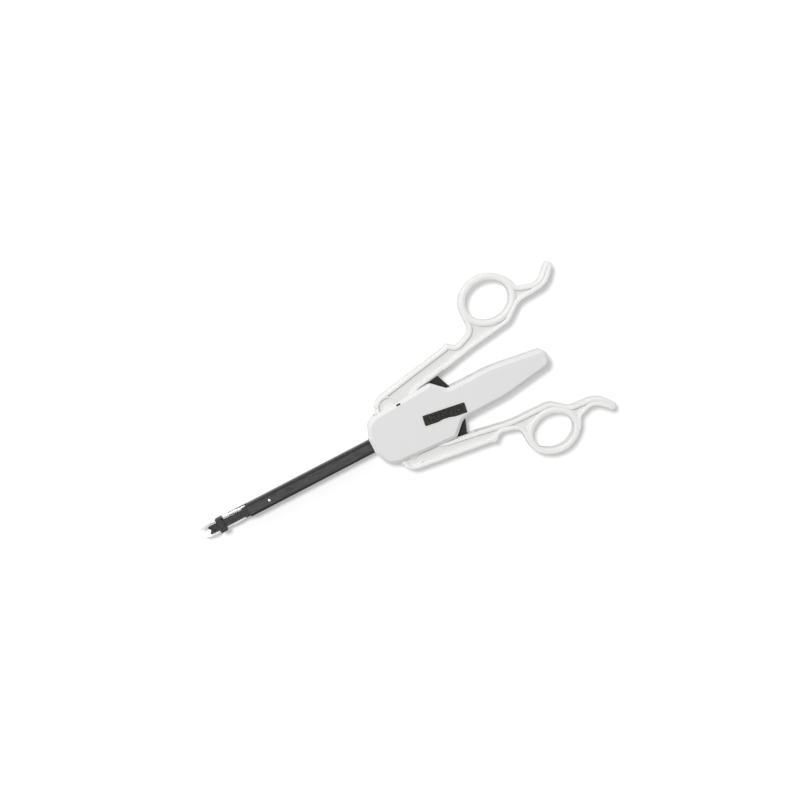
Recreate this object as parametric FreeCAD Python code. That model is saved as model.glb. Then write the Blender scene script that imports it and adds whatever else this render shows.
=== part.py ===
"""Clip applier with two ring handles, a flat shaft and a pair of clip closing jaws.

Millimetres. The origin is midway between the two handle pivots, on the flat underside of the housing.
+X points from the jaws to the tail, +Y to the right handle and +Z up.
"""
import FreeCAD
import Part
import math
import os

Vec = FreeCAD.Vector

# Housing
housing_height = 15.0
cover_wall = 2.3
nose_front = -18.6
nose_half_width = 4.6
nose_depth = 9.0
bay_half_width = 15.4
shoulder_x = 26.8
shoulder_half_width = 17.6
tail_root_x = 34.6
tail_half_width = 10.1
tail_taper_x = 62.0
tail_end = 94.3
tail_end_half_width = 5.2
tail_side_wall = 2.2
tail_end_wall = 4.0
top_edge_bevel = 2.0
bottom_edge_bevel = 1.2
deck_line_x = 41.0
deck_line_width = 0.5
deck_line_depth = 0.3
side_notch_length = 2.5
side_notch_width = 1.0
side_notch_x = 5.6
cover_post_x = 12.0
cover_post_y = 8.8
cover_post_radius = 1.5

# Handles and their pivots
pivot_y = 12.2
pivot_radius = 2.2
hub_radius = 4.8
boss_y = 15.4
boss_radius = 8.4
handle_fit = 0.2
handle_edge_bevel = 1.0
handle_rim = 2.6
handle_pocket_depth = 1.4
finger_ring_rim = 3.6
finger_hole_x = 77.8
finger_hole_bevel = 1.0
right_finger_hole_y = 33.2
left_finger_hole_y = 30.4
right_finger_hole_half_length = 13.0
left_finger_hole_half_length = 12.3
right_finger_hole_half_width = 11.2
left_finger_hole_half_width = 9.7
right_spur_rise = 15.5
left_spur_rise = 15.6
right_spur_reach = 25.2
left_spur_reach = 22.8
notch_x = 45.6
right_arm_y = 32.9
left_arm_y = 31.0
neck_y = 23.7
running_fit = 0.05

# Links between the handles and the drive slide
link_handle_x = 28.1
link_handle_y = 20.8
link_slide_x = 34.4
link_slide_y = 4.5
link_half_width = 3.8
link_thickness = 4.0
link_pin_radius = 1.6
open_pivot_play = 0.55
link_slot_gap = 0.4
link_swing = 39.2
handle_pin_seat = 0.8

# Drive slide, drawbar and return spring
slide_half_width = 7.4
slide_front_reach = 17.0
slide_rear_reach = 8.8
slide_fit = 0.3
slide_neck_length = 7.0
slide_neck_half_width = 2.6
slide_travel = 8.64
drawbar_half_width = 1.8
drawbar_thickness = 0.8
pusher_half_width = 1.1
pusher_thickness = 0.5
spring_radius = 2.7
spring_wire = 0.8
spring_turns = 8
spring_guide_radius = 1.8
spring_guide_length = 26.0

# Shaft
shaft_width = 7.6
shaft_height = 8.0
shaft_sheet = 0.6
shaft_end = -98.3
shaft_lip = 1.4
shaft_cover_lip = 0.6
shaft_cover_rise = 0.4
shaft_bend = 0.8
tongue_reach = 11.9
tongue_rail = 0.3
rivet_setback = 13.3
rivet_radius = 0.8
anchor_pin_x = -14.0
anchor_pin_radius = 1.2

# Clips and what feeds them
track_floor = 0.3
track_wall = 0.3
clip_count = 20
clip_pitch = 2.9
clip_wire = 0.8
clip_length = 3.9
clip_half_width = 2.3
clip_row_setback = 5.3
follower_length = 6.0
feed_spring_folds = 9
feed_spring_leaf = 0.35
layer_gap = 0.2

# Jaws and what closes them
jaw_root_reach = 1.7
jaw_pivot_y = 2.6
jaw_pin_radius = 0.45
jaw_eye_radius = 1.05
jaw_thickness = 2.2
jaw_reach = 29.7
jaw_gap = 4.3
jaw_tip_width = 0.9
jaw_strip = 0.95
jaw_head_half_width = 4.2
jaw_swing = 3.6
collar_reach = 19.6
collar_length = 3.8
collar_half_width = 4.35
collar_wall = 0.75
collar_edge_round = 0.6
nose_block_reach = 25.8
nose_block_half_width = 2.3
nose_block_notch = 1.6

# Dark insert on the top cover
insert_length = 25.2
insert_width = 6.0
insert_x = 26.6
insert_y = -2.2
insert_turn = -9.0
insert_depth = 0.6
insert_rise = 0.5
insert_waist = 0.6
insert_ribs = 9

# Heights of the layers, worked out from the mid plane
mid_z = housing_height / 2
handle_thickness = housing_height - 2 * (cover_wall + handle_fit)
slide_height = housing_height - 2 * (cover_wall + slide_fit)
handle_base = mid_z - handle_thickness / 2
shaft_base = mid_z - shaft_height / 2
shaft_top = mid_z + shaft_height / 2
shaft_floor = shaft_base + shaft_sheet
drawbar_z = shaft_floor + tongue_rail + 0.1
jaw_z = drawbar_z + drawbar_thickness + 0.3
pusher_z = jaw_z + jaw_thickness + layer_gap
track_z = pusher_z + pusher_thickness + layer_gap
shaft_cover_z = shaft_top - shaft_sheet - shaft_cover_lip
shaft_inner_half = shaft_width / 2 - shaft_sheet
collar_inner_half = collar_half_width - collar_wall

# Places along the instrument that follow from the sizes above
tongue_end = shaft_end - tongue_reach
rivet_x = shaft_end + rivet_setback
clip_row_start = shaft_end + clip_row_setback
jaw_pivot_x = shaft_end - jaw_root_reach
jaw_tip_x = shaft_end - jaw_reach
collar_front = shaft_end - collar_reach
collar_back = collar_front + collar_length
nose_block_tip = shaft_end - nose_block_reach
slide_front = link_slide_x - slide_front_reach
slide_rear = link_slide_x + slide_rear_reach
bar_rear = slide_front - slide_neck_length


def box(x0, x1, y0, y1, z0, z1):
    """A box between two corners."""
    return Part.makeBox(x1 - x0, y1 - y0, z1 - z0, Vec(x0, y0, z0))


def rod(x, y, radius, z0, z1):
    """An upright round rod."""
    return Part.makeCylinder(radius, z1 - z0, Vec(x, y, z0))


def flip(shape):
    """The mirror image on the other side of the instrument."""
    return shape.mirror(Vec(0, 0, 0), Vec(0, 1, 0))


def rounded_wire(corners):
    """A closed wire of straight runs, with each corner (x, y, radius) rounded by its own radius."""
    entries = []
    count = len(corners)
    for i, (x, y, radius) in enumerate(corners):
        here = Vec(x, y, 0)
        before = Vec(*corners[i - 1][:2], 0) - here
        after = Vec(*corners[(i + 1) % count][:2], 0) - here
        if radius == 0:
            entries.append((here, here, here))
            continue
        before.normalize()
        after.normalize()
        half = before.getAngle(after) / 2
        middle = before + after
        middle.normalize()
        centre = here + middle * (radius / math.sin(half))
        reach = radius / math.tan(half)
        entries.append((here + before * reach, centre - middle * radius, here + after * reach))
    edges = []
    for i, (start, top, end) in enumerate(entries):
        if start.distanceToPoint(end) > 1e-6:
            edges.append(Part.Arc(start, top, end).toShape())
        following = entries[(i + 1) % count][0]
        if end.distanceToPoint(following) > 1e-6:
            edges.append(Part.LineSegment(end, following).toShape())
    return Part.Wire(edges)


def prism(corners, z0, z1):
    """An upright prism over a rounded outline."""
    face = Part.Face(rounded_wire(corners))
    face.translate(Vec(0, 0, z0))
    return face.extrude(Vec(0, 0, z1 - z0))


def oval(x, y, half_length, half_width):
    """The corners of an oval: eight flats round an ellipse, each used up by the rounding at its two ends."""
    eighth = math.radians(45)
    slant = math.atan2(half_length, half_width)
    end_radius = 0.97 * half_width * math.tan(eighth / 2) / math.tan(slant / 2)
    side_radius = 0.97 * half_length * math.tan(eighth / 2) / math.tan((math.pi / 2 - slant) / 2)
    corners = []
    for k in range(8):
        angle = eighth * (k + 0.5)
        corner_x = x + half_length * math.cos(angle) / math.cos(eighth / 2)
        corner_y = y + half_width * math.sin(angle) / math.cos(eighth / 2)
        corners.append((corner_x, corner_y, end_radius if k in (0, 3, 4, 7) else side_radius))
    return corners


def both_sides(half):
    """A whole outline from the half on the right, given from front to back."""
    return half + [(x, -y, radius) for x, y, radius in reversed(half)]


def long_edges(shape, length):
    """The edges of a shape that run along X for at least a length."""
    return [edge for edge in shape.Edges if edge.BoundBox.XLength > length]


def level_edges(shape, z):
    """The edges of a shape that lie at one height."""
    return [edge for edge in shape.Edges
            if abs(edge.BoundBox.ZMin - z) < 1e-6 and abs(edge.BoundBox.ZMax - z) < 1e-6]


def housing_corners():
    """The outline of the housing in plan."""
    return both_sides([
        (nose_front, nose_half_width, 4.0),
        (nose_front + 3.2, bay_half_width - 2.6, 6.0),
        (nose_front + 8.8, bay_half_width, 6.0),
        (shoulder_x, shoulder_half_width, 2.2),
        (tail_root_x, tail_half_width, 4.0),
        (tail_taper_x, tail_half_width - 0.1, 60.0),
        (tail_end, tail_end_half_width, tail_end_half_width - 0.4),
    ])


def cover_shell(edge_bevel):
    """The lower half of the housing, hollow and open at the sides for the handles and the links."""
    shell = prism(housing_corners(), 0, mid_z)
    shell = shell.makeChamfer(edge_bevel, level_edges(shell, 0))
    bay_front = nose_front + nose_depth
    shell = shell.cut(box(bay_front, tail_root_x, -2 * pivot_y, 2 * pivot_y, cover_wall, mid_z))
    chamber = both_sides([
        (tail_root_x - 1, tail_half_width - tail_side_wall, 0),
        (tail_taper_x, tail_half_width - tail_side_wall, 60.0),
        (tail_end - tail_end_wall, tail_end_half_width - tail_side_wall, 0.8),
    ])
    shell = shell.cut(prism(chamber, cover_wall, mid_z))
    window_half = link_thickness / 2 + link_slot_gap
    window_end = link_slide_x + slide_travel + 2.6
    shell = shell.cut(box(tail_root_x - 1, window_end, -20, 20, mid_z - window_half, mid_z))
    seat = box(nose_front - 1, bay_front + 1, -shaft_width / 2, shaft_width / 2, shaft_base, mid_z)
    shell = shell.cut(seat)
    for side in (-1, 1):
        shell = shell.fuse(rod(cover_post_x, side * cover_post_y, cover_post_radius, cover_wall, mid_z))
    return shell.removeSplitter()


def bottom_cover():
    """The lower half, flat underneath."""
    pin = rod(anchor_pin_x, 0, anchor_pin_radius, cover_wall, shaft_base)
    return cover_shell(bottom_edge_bevel).cut(pin)


def insert_blank(grow, z0, z1):
    """The plan shape of the dark insert, waisted in the middle of its long sides."""
    half_length = insert_length / 2 + grow
    half_width = insert_width / 2 + grow
    waist = half_width - insert_waist
    corners = [
        (-half_length, -half_width, 0.6),
        (-half_length, half_width, 0.6),
        (half_length, half_width, 0.6),
        (half_length, -half_width, 0.6),
        (insert_length / 5, -half_width, 3.0),
        (insert_length / 12, -waist, 3.0),
        (-insert_length / 12, -waist, 3.0),
        (-insert_length / 5, -half_width, 3.0),
    ]
    blank = prism(corners, z0, z1)
    blank.rotate(Vec(0, 0, 0), Vec(0, 0, 1), insert_turn)
    blank.translate(Vec(insert_x, insert_y, 0))
    return blank


def top_cover():
    """The upper half, with the seat of the insert, the deck line and the small notch in its right edge."""
    cover = cover_shell(top_edge_bevel).mirror(Vec(0, 0, mid_z), Vec(0, 0, 1))
    cover = cover.cut(insert_blank(0, housing_height - insert_depth, housing_height + 1))
    line_start = deck_line_x - deck_line_width / 2
    line_z = housing_height - deck_line_depth
    cover = cover.cut(box(line_start, line_start + deck_line_width, -20, 20, line_z, housing_height + 1))
    notch_y = bay_half_width - 0.6
    half_notch = side_notch_length / 2
    notch = box(side_notch_x - half_notch, side_notch_x + half_notch, notch_y - side_notch_width / 2,
                notch_y + side_notch_width / 2, housing_height - cover_wall - 1, housing_height + 1)
    return cover.cut(notch)


def top_insert():
    """The dark ribbed insert."""
    piece = insert_blank(0, housing_height - insert_depth, housing_height + insert_rise)
    pitch = (insert_length - 6.0) / (insert_ribs - 1)
    for i in range(insert_ribs):
        groove = box(-0.35, 0.35, -insert_width / 2 + 1.3, insert_width / 2 - 1.0, housing_height + 0.15,
                     housing_height + insert_rise + 1)
        groove.translate(Vec((i - (insert_ribs - 1) / 2) * pitch, 0, 0))
        groove.rotate(Vec(0, 0, 0), Vec(0, 0, 1), insert_turn)
        groove.translate(Vec(insert_x, insert_y, 0))
        piece = piece.cut(groove)
    return piece


def finger_oval(inner_y, half_length, half_width):
    """The centre and the half sizes of a finger hole, from the place of its side next to the arm."""
    return finger_hole_x, inner_y + half_width, half_length, half_width


def grown(hole, rim):
    """A finger hole's oval, larger all round by a rim."""
    x, y, half_length, half_width = hole
    return x, y, half_length + rim, half_width + rim


def flared_hole(hole):
    """A finger hole as a solid, flared at both faces of the handle."""
    cutter = prism(oval(*hole), 0, housing_height)
    for face_z, side in ((handle_base, -1), (handle_base + handle_thickness, 1)):
        wires = []
        for bevel in (-finger_hole_bevel, finger_hole_bevel):
            wire = rounded_wire(oval(*grown(hole, bevel)))
            wire.translate(Vec(0, 0, face_z + side * bevel))
            wires.append(wire)
        cutter = cutter.fuse(Part.makeLoft(wires, True, True))
    return cutter


def handle_corners(hole, arm_y, spur_rise, spur_reach):
    """The outline of the right handle in plan, from its front round the ring and the spur and back."""
    ring = oval(*grown(hole, finger_ring_rim))
    inner_y = hole[1] - hole[3]
    ring_rear = hole[0] + hole[2] + finger_ring_rim
    spur_end = ring_rear + spur_reach
    spur_top = inner_y + spur_rise
    spur_root = spur_top - 9.0
    return [
        (-1.6, boss_y + boss_radius - 0.2, 0),
        (notch_x - 2.2, arm_y - 1.3, 2.0),
        (notch_x, arm_y, 1.3),
        (notch_x + 4.4, arm_y - 4.0, 4.0),
        (ring[3][0] - 0.6, inner_y - 0.2, 5.0),
        ring[3],
        ring[2],
        ring[1],
        ring[0],
        (ring[0][0] + 1.8, spur_root + 3.4, 4.0),
        (spur_end - 11.6, spur_root, 7.8),
        (spur_end - 1.8, spur_top + 0.4, 1.7),
        (spur_end + 0.7, spur_top - 3.5, 1.7),
        (spur_end - 7.1, spur_root - 3.6, 14.0),
        (ring_rear - 0.9, inner_y + 1.8, 10.0),
        (finger_hole_x + 5.7, inner_y - 6.0, 8.0),
        (finger_hole_x - 19.8, neck_y, 60.0),
        (shoulder_x + 6.2, shoulder_half_width + 1.3, 30.0),
        (shoulder_x - 6.8, shoulder_half_width - 0.8, 10.0),
        (5.5, pivot_y - 2.7, 0),
    ]


def swing_slot(pivot, first, last, half_width, reach, z0, z1):
    """What a bar of this half width sweeps about a pivot between two directions, given in degrees."""
    x, y = pivot
    slot = rod(x, y, half_width, z0, z1)
    for angle in (first, (first + last) / 2, last):
        arm = box(0, reach, -half_width, half_width, z0, z1)
        arm.rotate(Vec(0, 0, 0), Vec(0, 0, 1), angle)
        arm.translate(Vec(x, y, 0))
        slot = slot.fuse(arm)
    return slot


def bevelled(blank, bevel):
    """A handle's blank with its upper and lower edges bevelled."""
    edges = level_edges(blank, handle_base) + level_edges(blank, handle_base + handle_thickness)
    return blank.makeChamfer(bevel, edges)


def handle_web(outline, hole):
    """The plan of the recessed web between the rims: inside the outline, the ring and the hub."""
    depth = handle_pocket_depth + 1
    rim = oval(*grown(hole, finger_ring_rim))
    web = Part.Face(rounded_wire(outline)).makeOffset2D(-handle_rim).extrude(Vec(0, 0, depth))
    web = web.fuse(rod(0, boss_y, boss_radius - handle_rim, 0, depth))
    return web.cut(prism(rim, 0, depth)).cut(rod(0, pivot_y, hub_radius, 0, depth))


def link_slot():
    """The slot of a handle that its link swings in."""
    rest = math.degrees(math.atan2(link_slide_y - link_handle_y, link_slide_x - link_handle_x))
    half_slot = link_thickness / 2 + link_slot_gap
    half_width = link_half_width + link_slot_gap
    return swing_slot((link_handle_x, link_handle_y), rest, rest + link_swing, half_width, 24,
                      mid_z - half_slot, mid_z + half_slot)


def handle(hole, arm_y, spur_rise, spur_reach):
    """A ring handle with bevelled edges, recessed webs and the slot for its link."""
    top = handle_base + handle_thickness
    outline = handle_corners(hole, arm_y, spur_rise, spur_reach)
    body = bevelled(prism(outline, handle_base, top), handle_edge_bevel)
    body = body.fuse(bevelled(rod(0, boss_y, boss_radius, handle_base, top), handle_edge_bevel))
    body = body.fuse(rod(0, pivot_y, hub_radius, handle_base, top)).removeSplitter()
    body = body.cut(flared_hole(hole))
    web = handle_web(outline, hole)
    for z in (handle_base - 1, top - handle_pocket_depth):
        pocket = web.copy()
        pocket.translate(Vec(0, 0, z))
        body = body.cut(pocket)
    body = body.cut(rod(0, pivot_y, pivot_radius + running_fit, 0, housing_height))
    return body.cut(link_slot()).cut(handle_pin())


def link():
    """The flat link of the right side, with a close eye on the handle pin and a loose eye in the slide."""
    z0 = mid_z - link_thickness / 2
    z1 = mid_z + link_thickness / 2
    length = math.hypot(link_slide_x - link_handle_x, link_slide_y - link_handle_y)
    turn = math.degrees(math.atan2(link_slide_y - link_handle_y, link_slide_x - link_handle_x))
    plate = box(0, length, -link_half_width, link_half_width, z0, z1)
    plate = plate.fuse(rod(0, 0, link_half_width, z0, z1))
    plate = plate.fuse(rod(length, 0, link_half_width, z0, z1)).removeSplitter()
    plate = plate.cut(rod(0, 0, link_pin_radius + running_fit, z0, z1))
    plate = plate.cut(rod(length, 0, link_pin_radius + open_pivot_play, z0, z1))
    plate.rotate(Vec(0, 0, 0), Vec(0, 0, 1), turn)
    plate.translate(Vec(link_handle_x, link_handle_y, 0))
    return plate


def drive_slide():
    """The carriage that the links pull back, a yoke open at both sides for them."""
    z0 = mid_z - slide_height / 2
    z1 = mid_z + slide_height / 2
    body = prism([
        (slide_front, -slide_half_width, 1.0),
        (slide_front, slide_half_width, 1.0),
        (slide_rear, slide_half_width, 1.0),
        (slide_rear, -slide_half_width, 1.0),
    ], z0, z1)
    half_slot = link_thickness / 2 + link_slot_gap
    pocket_front = link_slide_x - 11.0
    pocket_rear = link_slide_x + link_half_width + link_slot_gap
    body = body.cut(box(pocket_front, pocket_rear, -20, 20, mid_z - half_slot, mid_z + half_slot))
    neck_top = pusher_z + pusher_thickness
    half_neck = slide_neck_half_width
    body = body.fuse(box(bar_rear, slide_front, -half_neck, half_neck, drawbar_z, neck_top))
    for side in (-1, 1):
        body = body.cut(rod(link_slide_x, side * link_slide_y, link_pin_radius, 0, housing_height))
    return body.removeSplitter()


def slide_pin():
    """The pin of the right link in the drive slide."""
    half = slide_height / 2
    return rod(link_slide_x, link_slide_y, link_pin_radius, mid_z - half, mid_z + half)


def handle_pin():
    """The pin of the right link, seated blind in both walls of the handle's slot."""
    half = link_thickness / 2 + link_slot_gap + handle_pin_seat
    return rod(link_handle_x, link_handle_y, link_pin_radius, mid_z - half, mid_z + half)


def drawbar():
    """The flat bar from the drive slide to the collar."""
    return box(collar_back, bar_rear, -drawbar_half_width, drawbar_half_width, drawbar_z,
               drawbar_z + drawbar_thickness)


def pusher_bar():
    """The thin bar above the jaws that feeds the next clip, with its notched front end."""
    bar = box(collar_front + 1.0, bar_rear, -pusher_half_width, pusher_half_width, pusher_z,
              pusher_z + pusher_thickness)
    notch = rod(collar_front + 1.0, 0, pusher_half_width * 0.6, pusher_z - 1, pusher_z + 2)
    return bar.cut(notch)


def cam_collar():
    """The closed collar round the jaw arms."""
    z0 = drawbar_z
    z1 = shaft_top + 0.2
    outer = box(collar_front, collar_back, -collar_half_width, collar_half_width, z0, z1)
    outer = outer.makeFillet(collar_edge_round, long_edges(outer, collar_length / 2))
    window = box(collar_front, collar_back, -collar_inner_half, collar_inner_half, z0 + drawbar_thickness,
                 z1 - 0.8)
    return outer.cut(window)


def return_spring():
    """The coil spring of flat wire between the drive slide and the wall in the tail."""
    half = spring_wire / 2
    length = tail_end - tail_end_wall - slide_rear - spring_wire
    helix = Part.makeHelix(length / spring_turns, length, spring_radius)
    section = Part.makePolygon([Vec(spring_radius + dx * half, 0, dz * half)
                                for dx, dz in ((-1, -1), (1, -1), (1, 1), (-1, 1), (-1, -1))])
    coil = Part.Wire(helix).makePipeShell([section], True, True)
    coil.rotate(Vec(0, 0, 0), Vec(0, 1, 0), 90)
    coil.translate(Vec(slide_rear + half, 0, mid_z))
    return coil


def spring_guide():
    """The rod inside the return spring, with a flange on the wall in the tail."""
    end = tail_end - tail_end_wall
    guide = Part.makeCylinder(spring_guide_radius, spring_guide_length, Vec(end, 0, mid_z), Vec(-1, 0, 0))
    return guide


def shaft_channel():
    """The folded channel of the shaft, with its floor run on as a tongue below the jaws."""
    end = nose_front + nose_depth + 1
    half = shaft_width / 2
    channel = box(shaft_end, end, -half, half, shaft_base, shaft_top)
    channel = channel.makeFillet(shaft_bend, long_edges(channel, shaft_width))
    hollow = box(shaft_end, end, -shaft_inner_half, shaft_inner_half, shaft_floor, shaft_top - shaft_sheet)
    mouth_half = half - shaft_lip
    mouth = box(shaft_end, end, -mouth_half, mouth_half, shaft_top - shaft_sheet, shaft_top)
    channel = channel.cut(hollow).cut(mouth)
    tongue = box(tongue_end, shaft_end, -half, half, shaft_base, shaft_floor + tongue_rail)
    inner = shaft_inner_half
    tongue = tongue.cut(box(tongue_end, shaft_end, -inner, inner, shaft_floor, shaft_top))
    channel = channel.fuse(tongue).removeSplitter()
    return channel.cut(rod(rivet_x, 0, rivet_radius, 0, shaft_floor))


def shaft_cover():
    """The strip that closes the channel, held under its lips."""
    end = nose_front + nose_depth + 1
    strip = box(shaft_end, end, -shaft_inner_half, shaft_inner_half, shaft_cover_z, shaft_top - shaft_sheet)
    mouth_half = shaft_width / 2 - shaft_lip
    rib = box(shaft_end, end, -mouth_half, mouth_half, shaft_top - shaft_sheet,
              shaft_top - shaft_sheet + shaft_cover_rise)
    strip = strip.fuse(rib).removeSplitter()
    return strip.cut(rod(rivet_x, 0, rivet_radius, 0, housing_height))


def shaft_rivet():
    """The bright rivet head in the shaft cover."""
    top = shaft_top - shaft_sheet + shaft_cover_rise
    rivet = rod(rivet_x, 0, rivet_radius, shaft_cover_z, top + 0.25)
    return rivet.makeFillet(0.2, level_edges(rivet, top + 0.25))


def cartridge_track():
    """The tray that holds the clips, open on top."""
    end = nose_front + nose_depth + 1
    half = shaft_inner_half
    tray = box(shaft_end + 2.3, end, -half, half, track_z, shaft_cover_z)
    inner = half - track_wall
    return tray.cut(box(shaft_end + 2.3, end - 1.0, -inner, inner, track_z + track_floor, shaft_cover_z))


def clip(x):
    """One open clip, a bent wire whose legs point to the jaws."""
    z0 = track_z + track_floor
    z1 = z0 + clip_wire
    half = clip_half_width
    slope = clip_length - clip_wire
    return prism([
        (x, half - clip_wire, 0),
        (x, half, 0),
        (x + slope, 0.4 * half, 0),
        (x + slope, -0.4 * half, 0),
        (x, -half, 0),
        (x, -half + clip_wire, 0),
        (x + slope - clip_wire * 1.2, -0.2 * half, 0),
        (x + slope - clip_wire * 1.2, 0.2 * half, 0),
    ], z0, z1)


def clips():
    """The row of clips, nested one behind another."""
    return Part.makeCompound([clip(clip_row_start + i * clip_pitch) for i in range(clip_count)])


def follower_front():
    """Where the follower starts, just behind the last clip."""
    return clip_row_start + (clip_count - 1) * clip_pitch + clip_length


def clip_follower():
    """The block that pushes the row of clips forward."""
    z0 = track_z + track_floor
    half = shaft_inner_half - track_wall - 0.1
    front = follower_front()
    return prism([
        (front, -0.3 * half, 0),
        (front, 0.3 * half, 0),
        (front + 1.5, half, 0),
        (front + follower_length, half, 0),
        (front + follower_length, -half, 0),
        (front + 1.5, -half, 0),
    ], z0, shaft_cover_z - 0.1)


def feed_spring():
    """The folded flat spring behind the follower: upright leaves joined at alternate ends."""
    start = follower_front() + follower_length
    end = nose_front + nose_depth
    z0 = track_z + track_floor
    z1 = z0 + clip_wire
    pitch = (end - start - feed_spring_leaf) / feed_spring_folds
    half = shaft_inner_half - track_wall - 0.2
    leaves = [box(start + i * pitch, start + i * pitch + feed_spring_leaf, -half, half, z0, z1)
              for i in range(feed_spring_folds + 1)]
    for i in range(feed_spring_folds):
        y0, y1 = (half - feed_spring_leaf, half) if i % 2 else (-half, -half + feed_spring_leaf)
        leaves.append(box(start + i * pitch, start + (i + 1) * pitch, y0, y1, z0, z1))
    return leaves[0].multiFuse(leaves[1:]).removeSplitter()


def nose_block():
    """The block over the jaws that guides a clip between them, with a notched tip."""
    z1 = shaft_cover_z
    rear = shaft_end + 2.3
    wide = shaft_inner_half - 0.1
    half = nose_block_half_width
    block = prism([
        (nose_block_tip, half, 0.4),
        (jaw_pivot_x - 2, half, 0),
        (jaw_pivot_x - 1, wide, 0),
        (rear, wide, 0),
        (rear, -wide, 0),
        (jaw_pivot_x - 1, -wide, 0),
        (jaw_pivot_x - 2, -half, 0),
        (nose_block_tip, -half, 0.4),
        (nose_block_tip + nose_block_notch, 0, 0.3),
    ], track_z, z1)
    groove_half = half - 0.5
    groove = box(nose_block_tip - 1, rear, -groove_half, groove_half, track_z + track_floor,
                 track_z + track_floor + clip_wire)
    line_x = collar_front - 2.9
    line = box(line_x, line_x + 0.5, -half, half, z1 - 0.2, z1)
    return block.cut(groove).cut(line)


def arm_outer(x):
    """How far out the arm may stand at x so that the collar, sliding back, swings the jaw evenly."""
    free = collar_back - x
    swing = math.radians(jaw_swing) * max(-free, 0) / slide_travel
    return collar_inner_half - 0.15 + swing * (jaw_pivot_x - x)


def jaw():
    """The right jaw: an arm with a cam flare behind the collar and a head that curves in to the tip."""
    z0 = jaw_z
    z1 = jaw_z + jaw_thickness
    cam_x = collar_back + slide_travel - 2.0
    at_collar = arm_outer(collar_back)
    cam = arm_outer(cam_x)
    inner = at_collar - jaw_strip
    tip_inner = jaw_gap / 2
    arm = prism([
        (jaw_pivot_x, jaw_pivot_y - 0.8, 0),
        (jaw_pivot_x, jaw_pivot_y + 0.8, 0),
        (cam_x + 1.0, cam, 1.5),
        (cam_x, cam, 1.5),
        (collar_back, at_collar, 4.0),
        (collar_front - 0.5, at_collar, 1.0),
        (jaw_tip_x + 7.5, jaw_head_half_width, 1.5),
        (jaw_tip_x + 3.5, jaw_head_half_width - 0.2, 2.5),
        (jaw_tip_x, tip_inner + jaw_tip_width, 0.4),
        (jaw_tip_x, tip_inner, 0.2),
        (jaw_tip_x + 3.2, tip_inner + 0.55, 2.0),
        (collar_front - 2.0, tip_inner + 0.75, 2.0),
        (collar_front, inner, 2.0),
        (cam_x, inner, 3.0),
    ], z0, z1)
    arm = arm.fuse(rod(jaw_pivot_x, jaw_pivot_y, jaw_eye_radius, z0, z1)).removeSplitter()
    return arm.cut(rod(jaw_pivot_x, jaw_pivot_y, jaw_pin_radius + running_fit, z0, z1))


def jaw_pin():
    """The pin of the right jaw, from the floor of the channel to the nose block."""
    return rod(jaw_pivot_x, jaw_pivot_y, jaw_pin_radius, shaft_floor, track_z)


def handle_pivot():
    """The pivot of the right handle, between the two covers."""
    return rod(0, pivot_y, pivot_radius, cover_wall, housing_height - cover_wall)


def anchor_pin():
    """The pin that holds the end of the shaft in the nose of the housing."""
    return rod(anchor_pin_x, 0, anchor_pin_radius, cover_wall, shaft_base)


def pieces():
    """Every piece by the name of its file."""
    right_hole = finger_oval(right_finger_hole_y, right_finger_hole_half_length, right_finger_hole_half_width)
    left_hole = finger_oval(left_finger_hole_y, left_finger_hole_half_length, left_finger_hole_half_width)
    return {
        "top_cover": top_cover(),
        "bottom_cover": bottom_cover(),
        "top_insert": top_insert(),
        "right_handle": handle(right_hole, right_arm_y, right_spur_rise, right_spur_reach),
        "left_handle": flip(handle(left_hole, left_arm_y, left_spur_rise, left_spur_reach)),
        "right_pivot_pin": handle_pivot(),
        "left_pivot_pin": flip(handle_pivot()),
        "right_link": link(),
        "left_link": flip(link()),
        "right_handle_pin": handle_pin(),
        "left_handle_pin": flip(handle_pin()),
        "right_slide_pin": slide_pin(),
        "left_slide_pin": flip(slide_pin()),
        "drive_slide": drive_slide(),
        "drawbar": drawbar(),
        "pusher_bar": pusher_bar(),
        "cam_collar": cam_collar(),
        "return_spring": return_spring(),
        "spring_guide": spring_guide(),
        "shaft_channel": shaft_channel(),
        "shaft_cover": shaft_cover(),
        "shaft_rivet": shaft_rivet(),
        "shaft_anchor_pin": anchor_pin(),
        "cartridge_track": cartridge_track(),
        "clips": clips(),
        "clip_follower": clip_follower(),
        "feed_spring": feed_spring(),
        "nose_block": nose_block(),
        "right_jaw": jaw(),
        "left_jaw": flip(jaw()),
        "right_jaw_pin": jaw_pin(),
        "left_jaw_pin": flip(jaw_pin()),
    }


def main():
    """Write each piece to its own file."""
    os.makedirs("parts", exist_ok=True)
    for name, shape in pieces().items():
        shape.exportStep("parts/" + name + ".step")


main()
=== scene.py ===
"""Looks of the clip applier: white moulded handles and housing, a dark flat shaft and bright jaws.

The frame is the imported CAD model. Lengths in the dataclasses are millimetres, as a drawing has them, and the MM
factor turns them into Blender's metres where a mesh is made. +X points from the jaws to the tail, +Y to the
right handle and +Z up from the table.
"""
import logging
import math
from dataclasses import dataclass
from enum import Enum

import bmesh
import bpy
import numpy as np
from mathutils import Matrix, Vector


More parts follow.
